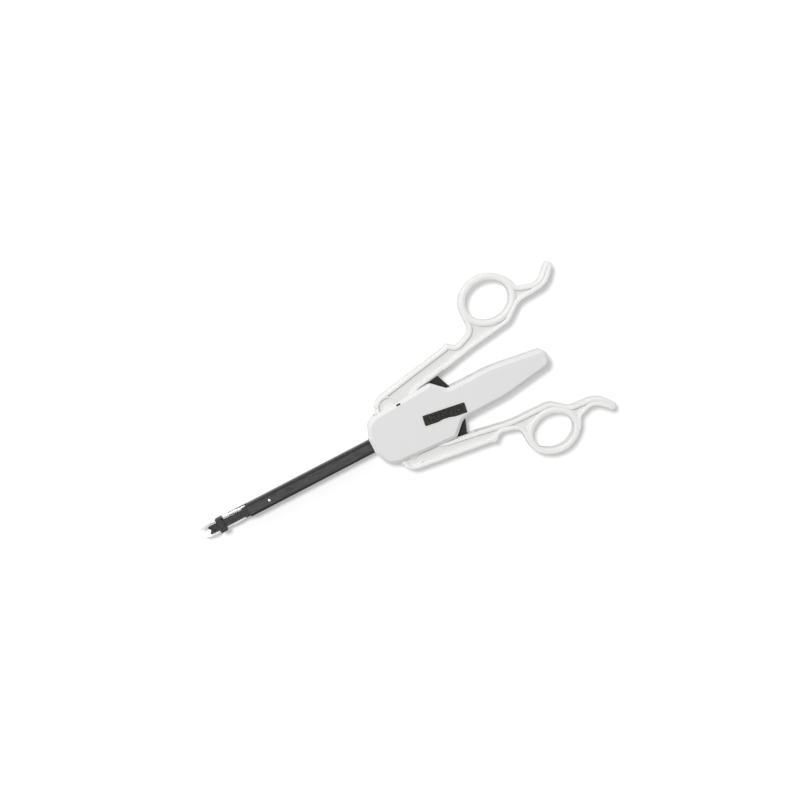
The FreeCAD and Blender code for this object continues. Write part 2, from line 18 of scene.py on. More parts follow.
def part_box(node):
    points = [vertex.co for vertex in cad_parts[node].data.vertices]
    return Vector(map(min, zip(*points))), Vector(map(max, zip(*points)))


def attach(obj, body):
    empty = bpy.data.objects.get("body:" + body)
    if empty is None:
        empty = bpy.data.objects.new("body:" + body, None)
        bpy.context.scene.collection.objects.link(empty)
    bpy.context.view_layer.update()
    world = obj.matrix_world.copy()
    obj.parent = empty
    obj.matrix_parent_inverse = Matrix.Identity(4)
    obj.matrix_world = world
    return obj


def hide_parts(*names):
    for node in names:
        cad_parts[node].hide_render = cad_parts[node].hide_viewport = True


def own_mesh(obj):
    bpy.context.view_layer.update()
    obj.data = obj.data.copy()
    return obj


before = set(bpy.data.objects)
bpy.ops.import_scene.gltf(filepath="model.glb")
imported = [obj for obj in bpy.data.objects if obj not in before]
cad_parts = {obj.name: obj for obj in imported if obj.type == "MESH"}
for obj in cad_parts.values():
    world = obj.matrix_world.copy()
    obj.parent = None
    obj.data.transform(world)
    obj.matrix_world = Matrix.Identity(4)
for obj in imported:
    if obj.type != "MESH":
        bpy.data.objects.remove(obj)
LOG = logging.getLogger("clip_applier")
MM = 0.001
MID_Z = 7.5
MIDDLE = 0.5
CLOUD_RISE = (0.3, 0.7)
Array = np.ndarray
Colour = tuple[float, float, float]
Span = tuple[float, float]


class Side(Enum):
    """The two sides of the instrument, by the sign of their Y."""

    RIGHT = 1
    LEFT = -1

    def node(self, part: str) -> str:
        """The name of this side's CAD node."""
        return f"{self.name.lower()}_{part}"


class Face(Enum):
    """The two broad faces of a flat piece, by the sign of their outward Z."""

    UPPER = 1
    LOWER = -1


class Slot(Enum):
    """Names of material slots for the new pieces; nothing uses them, as the pieces get their materials directly."""

    WHITE = "white_plastic"
    BLACK = "black_plastic"
    BRIGHT = "bright_steel"


# Shader expressions

class Signal:
    """A shader socket that takes part in Python expressions."""

    def __init__(self, board: "Board", socket: bpy.types.NodeSocket) -> None:
        """Wraps one output socket of a board."""
        self.board = board
        self.socket = socket

    def _maths(self, operation: str, *values: "Signal | float") -> "Signal":
        """Adds one Math node.

        Args:
            operation: The Math node's operation.
            values: Its inputs, in order.

        Returns:
            The node's value.
        """
        node = self.board.node("ShaderNodeMath", {"operation": operation}, dict(enumerate(values)))
        return Signal(self.board, node.outputs[0])

    def __add__(self, other: "Signal | float") -> "Signal":
        """The sum."""
        return self._maths("ADD", self, other)

    __radd__ = __add__

    def __mul__(self, other: "Signal | float") -> "Signal":
        """The product."""
        return self._maths("MULTIPLY", self, other)

    __rmul__ = __mul__

    def __sub__(self, other: "Signal | float") -> "Signal":
        """This less the other."""
        return self._maths("SUBTRACT", self, other)

    def __rsub__(self, other: float) -> "Signal":
        """The other less this."""
        return self._maths("SUBTRACT", other, self)

    def size(self) -> "Signal":
        """The value without its sign."""
        return self._maths("ABSOLUTE", self)

    def over(self, limit: float) -> "Signal":
        """One where the value is above a limit, and nought elsewhere."""
        return self._maths("GREATER_THAN", self, limit)

    def ramp(self, low: float, high: float) -> "Signal":
        """Nought below low and one above high, with a smooth rise between.

        Args:
            low: Where the rise starts.
            high: Where it ends.

        Returns:
            The smooth step.
        """
        settings = {"interpolation_type": "SMOOTHSTEP"}
        node = self.board.node("ShaderNodeMapRange", settings, {"Value": self, "From Min": low, "From Max": high})
        return Signal(self.board, node.outputs["Result"])


class Board:
    """The node tree of one material or of the world."""

    def __init__(self, owner: bpy.types.Material | bpy.types.World, shader: str) -> None:
        """Takes an owner's nodes, whose only ones are its shader and its output.

        Args:
            owner: The material or the world.
            shader: The name of its shader node.
        """
        owner.use_nodes = True
        self.owner = owner
        self.tree = owner.node_tree
        self.shader = self.tree.nodes[shader]

    @classmethod
    def material(cls, name: str) -> "Board":
        """The board of a new material."""
        return cls(bpy.data.materials.new(name), "Principled BSDF")

    def node(self, kind: str, settings: dict, values: dict) -> bpy.types.Node:
        """Adds a node.

        Args:
            kind: The node's type.
            settings: Its properties, which are set first.
            values: Numbers, colours or signals for its inputs, by name or number.

        Returns:
            The new node.
        """
        node = self.tree.nodes.new(kind)
        for key, value in settings.items():
            setattr(node, key, value)
        for key, value in values.items():
            if isinstance(value, Signal):
                self.tree.links.new(value.socket, node.inputs[key])
            else:
                node.inputs[key].default_value = value
        return node

    def place(self, stretch: tuple[float, float, float] = (1, 1, 1)) -> Signal:
        """The place on the piece in millimetres.

        Args:
            stretch: How often a pattern repeats along each axis, so that a small number draws it out.

        Returns:
            The stretched Object coordinates.
        """
        source = self.node("ShaderNodeTexCoord", {}, {})
        scale = tuple(value / MM for value in stretch)
        mapping = self.node("ShaderNodeMapping", {}, {"Vector": Signal(self, source.outputs["Object"]),
                                                      "Scale": scale})
        return Signal(self, mapping.outputs["Vector"])

    def along(self, axis: str) -> Signal:
        """The place along one axis in millimetres."""
        split = self.node("ShaderNodeSeparateXYZ", {}, {"Vector": self.place()})
        return Signal(self, split.outputs[axis])

    def away(self) -> Signal:
        """The distance from the origin in millimetres."""
        node = self.node("ShaderNodeVectorMath", {"operation": "LENGTH"}, {0: self.place()})
        return Signal(self, node.outputs["Value"])

    def level(self) -> Signal:
        """One on faces that lie flat, falling to nought softly towards their edges and on walls and bevels."""
        soft, tilted, flat = 0.9, 0.9, 0.995
        split = self.node("ShaderNodeSeparateXYZ", {}, {"Vector": self.soft_edges(soft)})
        return Signal(self, split.outputs["Z"]).size().ramp(tilted, flat)

    def cloud(self, place: Signal, grain: float, detail: float = 2.0) -> Signal:
        """Soft random variation.

        Args:
            place: Where the pattern is read.
            grain: The size of its patches in millimetres.
            detail: How many finer layers it has.

        Returns:
            A value from nought to one, mostly near a half.
        """
        node = self.node("ShaderNodeTexNoise", {}, {"Vector": place, "Scale": 1 / grain, "Detail": detail})
        return Signal(self, node.outputs[0])

    def blend(self, factor: Signal, first: Colour, second: Colour) -> Signal:
        """A colour between two, or between a signal and a colour.

        Args:
            factor: Nought for the first, one for the second.
            first: The colour, or a signal, at nought.
            second: The colour at one.

        Returns:
            The blended colour.
        """
        ends = [value if isinstance(value, Signal) else (*value, 1.0) for value in (first, second)]
        node = self.node("ShaderNodeMix", {"data_type": "RGBA"}, {0: factor, 6: ends[0], 7: ends[1]})
        return Signal(self, node.outputs[2])

    def soft_edges(self, radius: float) -> Signal:
        """The normal as if every edge were rounded.

        Args:
            radius: The radius of the rounding in millimetres.

        Returns:
            The rounded normal.
        """
        node = self.node("ShaderNodeBevel", {"samples": 6}, {"Radius": radius * MM})
        return Signal(self, node.outputs["Normal"])

    def edge_mask(self, rounded: Signal) -> Signal:
        """How far the rounded normal leans away from the true one: high along edges.

        Args:
            rounded: The normal of soft_edges.

        Returns:
            Nought on a flat, rising towards an edge.
        """
        true = self.node("ShaderNodeNewGeometry", {}, {})
        dot = self.node("ShaderNodeVectorMath", {"operation": "DOT_PRODUCT"},
                        {0: rounded, 1: Signal(self, true.outputs["Normal"])})
        return 1 - Signal(self, dot.outputs["Value"])

    def relief(self, height: Signal, depth: float, normal: Signal) -> Signal:
        """A normal shaped by a height pattern.

        Args:
            height: The pattern.
            depth: The height of one unit of it in millimetres.
            normal: The normal under it.

        Returns:
            The bumped normal.
        """
        node = self.node("ShaderNodeBump", {}, {"Strength": 1.0, "Distance": depth * MM, "Height": height,
                                                "Normal": normal})
        return Signal(self, node.outputs["Normal"])

    def seen(self) -> Signal:
        """One for the camera, in mirrors and through glass, and nought for the light on the instrument."""
        path = self.node("ShaderNodeLightPath", {}, {})
        camera, glossy, through = (Signal(self, path.outputs[f"Is {kind} Ray"])
                                   for kind in ("Camera", "Glossy", "Transmission"))
        return camera + glossy + through

    def finish(self, values: dict) -> bpy.types.Material | bpy.types.World:
        """Sets the shader's sockets and gives the material or the world.

        Args:
            values: Numbers, colours or signals by socket name.

        Returns:
            The owner of the nodes.
        """
        for key, value in values.items():
            if isinstance(value, Signal):
                self.tree.links.new(value.socket, self.shader.inputs[key])
            else:
                self.shader.inputs[key].default_value = value
        return self.owner


@dataclass(frozen=True)
class MouldedPlastic:
    """Satin moulded plastic: faint cloudiness, spark-eroded grain, soft edges with a painted highlight, painted shade
    on chosen level faces and a seam at the parting plane.
    """

    name: str
    colour: Colour
    cloudy: Colour
    # The lighter colour at the edges is a painted highlight.
    edge: Colour
    roughness: float = 0.42
    gloss: float = 0.45
    grain: float = 0.35
    grain_depth: float = 0.012
    edge_radius: float = 0.45
    seam_height: float | None = None
    seam_sides: Span = (0.06, 0.16)
    seam_shade: float = 0.55
    seam_dark: float = 0.35
    seam_depth: float = 6.0
    cloud_size: float = 14.0
    edge_mask_rise: Span = (0.02, 0.3)
    # Painted shade: a darker colour on level faces between two distances from the mid plane, for the cover's flat decks
    # beside their lighter bevels and the handles' recessed web between the rims.
    panel: Colour | None = None
    panel_from: float = 0.0
    panel_to: float = 100.0

    def build(self) -> bpy.types.Material:
        """Draws the finish.

        Returns:
            The material: colour = clouds between two shades, a darker colour, painted shade, on the level faces
            whose distance from the mid plane lies between two given limits, a lighter colour, a painted highlight,
            at edges, and darker in the seam; relief = fine grain plus the groove |z - seam|.
        """
        board = Board.material(self.name)
        place = board.place()
        clouds = board.cloud(place, self.cloud_size, 3.0)
        fine = board.cloud(place, self.grain)
        rounded = board.soft_edges(self.edge_radius)
        # Painted highlight: a mask that rises towards the rounded edges, where the lighter edge colour is laid.
        edge_light_and_wear = board.edge_mask(rounded).ramp(*self.edge_mask_rise)
        colour = board.blend(clouds.ramp(*CLOUD_RISE), self.colour, self.cloudy)
        # Painted shade: the level faces inside the band take the darker colour.
        if self.panel is not None:
            away = (board.along("Z") - MID_Z).size()
            inside = away.over(self.panel_from) * (1 - away.over(self.panel_to))
            colour = board.blend(inside * board.level(), colour, self.panel)
        colour = board.blend(edge_light_and_wear, colour, self.edge)
        height = fine
        if self.seam_height is not None:
            gap = (board.along("Z") - self.seam_height).size()
            seam = 1 - gap.ramp(*self.seam_sides)
            colour = board.blend(seam * self.seam_shade, colour, tuple(self.seam_dark * value for value in self.colour))
            height = fine - seam * self.seam_depth
        normal = board.relief(height, self.grain_depth, rounded)
        roughness = self.roughness + (fine - MIDDLE) * 0.12 + (clouds - MIDDLE) * 0.1
        return board.finish({"Base Color": colour, "Roughness": roughness, "Normal": normal, "IOR": 1.49,
                             "Specular IOR Level": self.gloss})


@dataclass(frozen=True)
class DrawnSteel:
    """Steel strip with lines along X, bare or coated, and another shade at its edges, which is a painted highlight
    where lighter and painted shade where darker, save on the dark channel, whose lighter edges are worn coating.
    """

    name: str
    colour: Colour
    streak: Colour
    # The edge colour: painted highlight or painted shade, or worn coating on the channel.
    edge: Colour
    metallic: float
    roughness: float
    gloss: float = 0.5
    grain: float = 0.12
    draw: float = 40.0
    line_depth: float = 0.004
    edge_radius: float = 0.15
    spot_size: float = 2.2
    edge_mask_rise: Span = (0.05, 0.5)

    def build(self) -> bpy.types.Material:
        """Draws the finish.

        Returns:
            The material: lines = noise drawn out along X, which shades colour, roughness and relief.
        """
        board = Board.material(self.name)
        lines = board.cloud(board.place((1 / self.draw, 1.0, 1.0)), self.grain, 3.0)
        spots = board.cloud(board.place(), self.spot_size, 4.0)
        rounded = board.soft_edges(self.edge_radius)
        # Painted light at the edges: lighter on the bright steel, darker on the shaft, the nose and the jaws; on the
        # channel the lighter edges are worn coating.
        edge_light_and_wear = board.edge_mask(rounded).ramp(*self.edge_mask_rise)
        colour = board.blend(lines.ramp(*CLOUD_RISE), self.colour, self.streak)
        colour = board.blend(edge_light_and_wear, colour, self.edge)
        roughness = self.roughness + (lines - MIDDLE) * 0.25 + (spots - MIDDLE) * 0.15
        normal = board.relief(lines, self.line_depth, rounded)
        return board.finish({"Base Color": colour, "Metallic": self.metallic, "Roughness": roughness,
                             "Normal": normal, "Specular IOR Level": self.gloss})


@dataclass(frozen=True)
class RibbedRubber:
    """Dark textured insert with uneven lighter patches, which are painted highlights of its ribs."""

    name: str
    colour: Colour
    rib_highlight: Colour
    roughness: float = 0.62
    gloss: float = 0.25
    coarse_size: float = 1.1
    fine_size: float = 0.3
    rib_highlight_rise: Span = (0.46, 0.66)
    relief_depth: float = 0.08
    edge_radius: float = 0.2

    def build(self) -> bpy.types.Material:
        """Draws the finish.

        Returns:
            The material: lighter patches, painted highlights, where the mixed clouds are high, and a coarse grain.
        """
        board = Board.material(self.name)
        place = board.place()
        coarse = board.cloud(place, self.coarse_size, 4.0)
        fine = board.cloud(place, self.fine_size)
        rounded = board.soft_edges(self.edge_radius)
        # Painted highlight: lighter patches stand in for the glints along the insert's ribs.
        colour = board.blend((coarse * 0.7 + fine * 0.3).ramp(*self.rib_highlight_rise), self.colour, self.rib_highlight)
        normal = board.relief(coarse + fine * 0.5, self.relief_depth, rounded)
        roughness = self.roughness + (coarse - MIDDLE) * 0.3
        return board.finish({"Base Color": colour, "Roughness": roughness, "Normal": normal,
                             "Specular IOR Level": self.gloss})


class Finishes:
    """The materials of the instrument, made once."""

    def __init__(self) -> None:
        """Builds each finish."""
        # Plastics: the edge colours, lighter than the main ones, are painted highlights; the third colour of the cover
        # and the handles is painted shade on their level faces.
        self.cover = MouldedPlastic("cover_plastic", (0.82, 0.82, 0.815), (0.84, 0.84, 0.835), (0.88, 0.88, 0.88),
                                    seam_height=MID_Z, panel=(0.735, 0.735, 0.738), panel_from=7.3).build()
        self.handle = MouldedPlastic("handle_plastic", (0.82, 0.82, 0.81), (0.84, 0.84, 0.83), (0.88, 0.88, 0.88),
                                     panel=(0.745, 0.748, 0.735), panel_to=3.9).build()
        self.black = MouldedPlastic("black_plastic", (0.010, 0.010, 0.010), (0.022, 0.022, 0.021),
                                    (0.06, 0.06, 0.06), roughness=0.5, gloss=0.2, grain_depth=0.02,
                                    edge_radius=0.25).build()
        self.insert = RibbedRubber("insert_rubber", (0.004, 0.004, 0.003), (0.052, 0.054, 0.044)).build()
        # Steels: lighter edges on the bright steel are a painted highlight, darker edges on the shaft, the nose and the
        # jaws painted shade; the channel's lighter edges are worn coating.
        self.channel = DrawnSteel("channel_coating", (0.009, 0.009, 0.010), (0.017, 0.017, 0.018),
                                  (0.030, 0.030, 0.031), 0.0, 0.42, 0.2, 0.25, 30.0).build()
        self.shaft = DrawnSteel("shaft_coating", (0.030, 0.030, 0.031), (0.075, 0.076, 0.079),
                                (0.014, 0.014, 0.014), 0.0, 0.42, 0.2, 0.6, 9.0).build()
        self.nose = DrawnSteel("nose_coating", (0.024, 0.024, 0.025), (0.066, 0.066, 0.068),
                               (0.012, 0.012, 0.012), 0.0, 0.45, 0.14, 0.7, 1.5, edge_radius=0.3).build()
        self.steel = DrawnSteel("bright_steel", (0.62, 0.62, 0.63), (0.74, 0.74, 0.75), (0.88, 0.88, 0.88),
                                1.0, 0.28, edge_radius=0.1).build()
        self.jaw = DrawnSteel("jaw_steel", (0.58, 0.58, 0.59), (0.70, 0.70, 0.71), (0.10, 0.10, 0.105),
                              1.0, 0.26, edge_radius=0.35).build()

    def dress(self, material: bpy.types.Material, nodes: list[str]) -> None:
        """Gives CAD nodes a finish through their objects' material slots.

        Args:
            material: The finish.
            nodes: The nodes' names.
        """
        for name in nodes:
            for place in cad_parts[name].material_slots:
                place.link = "OBJECT"
                place.material = material
            LOG.info("dressed %s in %s", name, material.name)


# Surfaces

def unit(vectors: Array) -> Array:
    """Each vector over its own length."""
    return vectors / np.linalg.norm(vectors, axis=-1, keepdims=True)


def rounded_line(corners: Array, steps: int, closed: bool) -> Array:
    """A line of straight runs with each corner (x, y, radius) rounded.

    A corner's arc has its centre on the bisector, radius / sin(half the corner's angle) away, and sweeps from one
    tangent point to the other. All arcs are computed as one array.

    Args:
        corners: One row per corner.
        steps: How many chords an arc has.
        closed: Whether the last corner joins the first. An open line starts and ends at its end corners.

    Returns:
        The points, one row each.
    """
    here = corners[:, :2]
    radius = corners[:, 2]
    before = unit(np.roll(here, 1, axis=0) - here)
    after = unit(np.roll(here, -1, axis=0) - here)
    half = 0.5 * np.arccos(np.clip((before * after).sum(axis=1), -1, 1))
    centre = here + unit(before + after) * (radius / np.sin(half))[:, None]
    reach = (radius / np.tan(half))[:, None]
    start = here + before * reach - centre
    end = here + after * reach - centre
    first = np.arctan2(start[:, 1], start[:, 0])
    sweep = np.arctan2(end[:, 1], end[:, 0]) - first
    sweep = (sweep + math.pi) % (2 * math.pi) - math.pi
    angle = first[:, None] + sweep[:, None] * np.linspace(0, 1, steps + 1)[None, :]
    arcs = centre[:, None, :] + radius[:, None, None] * np.stack([np.cos(angle), np.sin(angle)], axis=2)
    if closed:
        return arcs.reshape(-1, 2)
    return np.vstack([here[:1], arcs[1:-1].reshape(-1, 2), here[-1:]])


def evenly(points: Array, spacing: float, closed: bool) -> Array:
    """The same line with its points at equal distances along it.

    Args:
        points: The line.
        spacing: The wanted distance.
        closed: Whether the line is a loop.

    Returns:
        The new points. A loop's first point isn't repeated.
    """
    line = np.vstack([points, points[:1]]) if closed else points
    steps = np.linalg.norm(np.diff(line, axis=0), axis=1)
    run = np.concatenate([[0], np.cumsum(steps)])
    count = max(int(run[-1] / spacing), 8)
    wanted = np.linspace(0, run[-1], count + 1)
    wanted = wanted[:-1] if closed else wanted
    return np.stack([np.interp(wanted, run, line[:, axis]) for axis in range(line.shape[1])], axis=1)


def left_of(line: Array, closed: bool) -> Array:
    """The unit vector to the left of a plan line at each point, from the points on its two sides.

    Args:
        line: The plan line.
        closed: Whether the line is a loop.

    Returns:
        One vector for each point.
    """
    if closed:
        along = np.roll(line, -1, axis=0) - np.roll(line, 1, axis=0)
    else:
        along = np.gradient(line, axis=0)
    along = unit(along)
    return np.stack([-along[:, 1], along[:, 0]], axis=1)


def crown(half_width: float, half_height: float, power: float, count: int) -> Array:
    """A superellipse |u / half_width|^power + |v / half_height|^power = 1, as a closed profile.

    Args:
        half_width: Its half size across.
        half_height: Its half size in height.
        power: 2 for an ellipse, more for a fuller shape.
        count: How many points it has.

    Returns:
        The points (u, v), anticlockwise.
    """
    angle = np.linspace(0, 2 * math.pi, count, endpoint=False)
    cosine = np.cos(angle)
    sine = np.sin(angle)
    u = half_width * np.sign(cosine) * np.abs(cosine) ** (2 / power)
    v = half_height * np.sign(sine) * np.abs(sine) ** (2 / power)
    return np.stack([u, v], axis=1)


def domed(nearest: Array, ease: float) -> Array:
    """How full a profile is near an end: sqrt(1 - (1 - s / ease)^2), a quarter circle, and one further in.

    Args:
        nearest: The distance s from the nearer end.
        ease: The length over which the profile shrinks to nothing.

    Returns:
        A share from nought to one for each point.
    """
    return np.sqrt(1 - (1 - np.clip(nearest / ease, 0, 1)) ** 2)


def carried(line: Array, profile: Array, height: float, shift: float, closed: bool, ease: float = 0.0) -> Array:
    """A profile carried along a level line: point + left * (shift + u) + up * (height + v).

    Args:
        line: The plan line.
        profile: The closed profile (u, v).
        height: The height of the profile's centre.
        shift: How far left of the line the centre runs.
        closed: Whether the line is a loop.
        ease: The length over which an open line's ends are domed.

    Returns:
        A grid of points, one row for each point of the line.
    """
    left = left_of(line, closed)
    grow = np.ones(len(line))
    if not closed and ease > 0:
        run = np.concatenate([[0], np.cumsum(np.linalg.norm(np.diff(line, axis=0), axis=1))])
        grow = domed(np.minimum(run, run[-1] - run), ease)
    across = shift + grow[:, None] * profile[None, :, 0]
    up = height + grow[:, None] * profile[None, :, 1]
    plan = line[:, None, :] + left[:, None, :] * across[:, :, None]
    return np.concatenate([plan, up[:, :, None]], axis=2)


def skin(name: str, grid: Array, loop: bool, material: bpy.types.Material, body: str) -> bpy.types.Object:
    """Makes a piece from a grid of points, closed across its rows, and lets it ride.

    Args:
        name: The piece's name.
        grid: The points in millimetres, rows along the piece and columns round its profile.
        loop: Whether the last row joins the first.
        material: The finish.
        body: The CAD body that it moves with.

    Returns:
        The new object, with its faces outwards and its doubled end points merged.
    """
    rows, columns = grid.shape[:2]
    index = np.arange(rows * columns).reshape(rows, columns)
    following = np.roll(index, -1, axis=0) if loop else index[1:]
    current = index if loop else index[:-1]
    faces = np.stack([current, np.roll(current, -1, axis=1), np.roll(following, -1, axis=1), following], axis=2)
    mesh = bpy.data.meshes.new(name)
    mesh.from_pydata((grid.reshape(-1, 3) * MM).tolist(), [], faces.reshape(-1, 4).tolist())
    work = bmesh.new()
    work.from_mesh(mesh)
    bmesh.ops.remove_doubles(work, verts=work.verts, dist=1e-7)
    bmesh.ops.recalc_face_normals(work, faces=work.faces)
    work.to_mesh(mesh)
    work.free()
    mesh.polygons.foreach_set("use_smooth", np.ones(len(mesh.polygons), dtype=bool))
    mesh.materials.append(material)
    piece = bpy.data.objects.new(name, mesh)
    bpy.context.scene.collection.objects.link(piece)
    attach(piece, body)
    LOG.info("made %s on %s: %d faces", name, body, len(mesh.polygons))
    return piece


# Sub-assemblies

@dataclass
class RingHandle:
    """The smooth rims of one ring handle, laid over its CAD solid."""

    side: Side
    hole_y: float
    hole_half_length: float
    hole_half_width: float
    arm_y: float
    spur_top: float
    spur_end: float
    hole_x: float = 77.8
    neck_y: float = 23.7
    boss_radius: float = 8.4
    shoulder_y: float = 23.6
    shoulder_to_notch: float = 45.0
    notch_x: float = 45.6
    notch_lip: float = 1.3
    notch_depth: float = 4.0
    spur_drop: float = 9.0
    clear_y: float = 17.6
    ring_rim: float = 3.6
    ring_fill: float = 0.97
    base: float = 2.5
    thickness: float = 10.0
    rim: float = 2.6
    rim_crown: float = 0.3
    rim_sink: float = 1.0
    rim_ease: float = 1.6
    proud: float = 0.12
    spacing: float = 0.5
    inner_end: Span = (37.0, 19.67)

    @property
    def ring_centre(self) -> Span:
        """The centre of the finger hole."""
        return self.hole_x, self.hole_y + self.hole_half_width

    @property
    def top(self) -> float:
        """The height of the handle's upper face."""
        return self.base + self.thickness

    def ring_corners(self) -> Array:
        """The four outer corners of the ring's outline: half of eight flats round an ellipse.

        Returns:
            Rows (x, y, radius) from the front of the ring over its top to its rear.
        """
        half_length = self.hole_half_length + self.ring_rim
        half_width = self.hole_half_width + self.ring_rim
        eighth = math.pi / 4
        slant = math.atan2(half_length, half_width)
        end = self.ring_fill * half_width * math.tan(eighth / 2) / math.tan(slant / 2)
        side = self.ring_fill * half_length * math.tan(eighth / 2) / math.tan((math.pi / 2 - slant) / 2)
        angle = eighth * (np.arange(3, -1, -1) + 0.5)
        x = self.ring_centre[0] + half_length * np.cos(angle) / math.cos(eighth / 2)
        y = self.ring_centre[1] + half_width * np.sin(angle) / math.cos(eighth / 2)
        return np.stack([x, y, np.array([end, side, side, end])], axis=1)

    def outline(self) -> Array:
        """The visible outline, from the boss along the outer edge, round the ring and the spur and back.

        Each corner is a row (x, y, radius), in the order of the walk: the boss, the shoulder, the lip and the hollow
        of the finger notch, the ring's front foot and its own corners, the spur's root, its two tips and its
        underside, the ring's rear foot, the neck, and the end on the inner edge.

        Returns:
            The points of the open line at equal distances, without those that the housing covers.
        """
        ring = self.ring_corners()
        spur_root = self.spur_top - self.spur_drop
        rear = self.hole_x + self.hole_half_length + self.ring_rim
        lip_y = self.arm_y - self.notch_lip
        slope = (lip_y - self.shoulder_y) / self.shoulder_to_notch
        corners = np.vstack([
            [[-self.boss_radius, 10.0, 0.1]],
            [[-self.boss_radius, self.shoulder_y - slope * (self.boss_radius - 1.6), self.boss_radius]],
            [[self.notch_x - 2.2, lip_y, 2.0], [self.notch_x, self.arm_y, self.notch_lip]],
            [[self.notch_x + 4.4, self.arm_y - self.notch_depth, 4.0]],
            [[ring[0, 0] - 0.6, self.hole_y - 0.2, 5.0]],
            ring,
            [[ring[3, 0] + 1.8, spur_root + 3.4, 4.0], [self.spur_end - 11.6, spur_root, 7.8]],
            [[self.spur_end - 1.8, self.spur_top + 0.4, 1.7], [self.spur_end + 0.7, self.spur_top - 3.5, 1.7]],
            [[self.spur_end - 7.1, spur_root - 3.6, 14.0], [rear - 0.9, self.hole_y + 1.8, 10.0]],
            [[self.hole_x + 5.7, self.hole_y - 6.0, 8.0], [self.hole_x - 19.8, self.neck_y, 60.0]],
            [[*self.inner_end, 0.1]],
        ])
        line = rounded_line(corners, 12, False)
        return evenly(line[line[:, 1] > self.clear_y], self.spacing, False)

    def turned(self, grid: Array) -> Array:
        """The grid of the right handle moved to this side."""
        return grid * np.array([1.0, self.side.value, 1.0])

    def build(self, finishes: Finishes) -> None:
        """Makes the rims of both faces and the rounded ring.

        Args:
            finishes: The materials.
        """
        body = self.side.node("handle")
        line = self.outline()
        bead = crown(self.rim / 2 + self.proud, self.rim_sink + self.rim_crown, 3.4, 28)
        for face in Face:
            level = self.top if face is Face.UPPER else self.base
            grid = carried(line, bead, level - face.value * self.rim_sink, -self.rim / 2, False, self.rim_ease)
            skin(f"{body}_{face.name.lower()}_rim", self.turned(grid), False, finishes.handle, body)
        angle = np.linspace(0, 2 * math.pi, 120, endpoint=False)
        middle = self.ring_rim / 2
        ring = np.stack([self.ring_centre[0] + (self.hole_half_length + middle) * np.cos(angle),
                         self.ring_centre[1] + (self.hole_half_width + middle) * np.sin(angle)], axis=1)
        sleeve = crown(middle + self.proud, self.thickness / 2 + self.rim_crown, 4.0, 48)
        grid = carried(ring, sleeve, self.base + self.thickness / 2, 0.0, True)
        skin(f"{body}_ring", self.turned(grid), True, finishes.handle, body)
        finishes.dress(finishes.handle, [body])


@dataclass
class Housing:
    """The two covers and what shows on them."""

    mouth_x: float = -18.6
    shaft_half_width: float = 3.8
    shaft_half_height: float = 4.0
    seal_radius: float = 0.35
    seal_gap: float = 0.2
    # A dark piece in the side notch: painted shade where the notch is deep.
    notch_shade_centre: Span = (5.6, 14.8)
    notch_shade_half_length: float = 1.2
    notch_shade_half_width: float = 0.46
    notch_shade_heights: Span = (12.8, 14.7)

    def seal(self, finishes: Finishes) -> None:
        """Makes the dark seal round the shaft: a thin ring carried along a full superellipse in the YZ plane.

        Args:
            finishes: The materials.
        """
        loop = crown(self.shaft_half_width + self.seal_gap, self.shaft_half_height + self.seal_gap, 12.0, 160)
        ring = crown(self.seal_radius, self.seal_radius, 2.0, 16)
        left = left_of(loop, True)
        points = loop[:, None, :] - left[:, None, :] * ring[None, :, 0, None]
        along = np.broadcast_to(self.mouth_x + ring[None, :, 1], points.shape[:2])
        grid = np.stack([along, points[:, :, 0], MID_Z + points[:, :, 1]], axis=2)
        skin("mouth_seal", grid, True, finishes.black, "housing")

    def notch_shade(self, finishes: Finishes) -> None:
        """Makes a dark piece in the side notch, painted shade for the depth of the notch.

        With t from nought to pi, its plan at height low + (high - low) * (1 - cos t) / 2 is a superellipse that is
        sin(t)^0.25 of its full size, so that it closes at both ends.

        Args:
            finishes: The materials.
        """
        low, high = self.notch_shade_heights
        rise = np.linspace(0, math.pi, 17)
        swell = np.sin(rise) ** 0.25
        plan = crown(self.notch_shade_half_length, self.notch_shade_half_width, 6.0, 40)
        spread = swell[:, None, None] * plan[None, :, :] + np.array(self.notch_shade_centre)
        height = low + (high - low) * (1 - np.cos(rise)) / 2
        grid = np.concatenate([spread, np.broadcast_to(height[:, None, None], (*spread.shape[:2], 1))], axis=2)
        skin("notch_shade_piece", grid, False, finishes.black, "housing")

    def build(self, finishes: Finishes) -> None:
        """Dresses the covers and makes the seal and the dark piece of painted shade in the side notch.

        Args:
            finishes: The materials.
        """
        finishes.dress(finishes.cover, ["top_cover", "bottom_cover"])
        finishes.dress(finishes.insert, ["top_insert"])
        self.seal(finishes)
        self.notch_shade(finishes)


@dataclass
class Shaft:
    """The flat shaft with its cover strip, and the tip with its jaws."""

    def build(self, finishes: Finishes) -> None:
        """Dresses the shaft and the tip.

        Args:
            finishes: The materials.
        """
        finishes.dress(finishes.channel, ["shaft_channel"])
        finishes.dress(finishes.shaft, ["shaft_cover", "drawbar", "pusher_bar"])
        finishes.dress(finishes.black, ["cartridge_track", "clip_follower"])
        finishes.dress(finishes.nose, ["nose_block", "cam_collar"])
        finishes.dress(finishes.jaw, ["right_jaw", "left_jaw"])
        finishes.dress(finishes.steel, ["right_jaw_pin", "left_jaw_pin", "shaft_rivet", "clips", "feed_spring",
                                        "shaft_anchor_pin"])


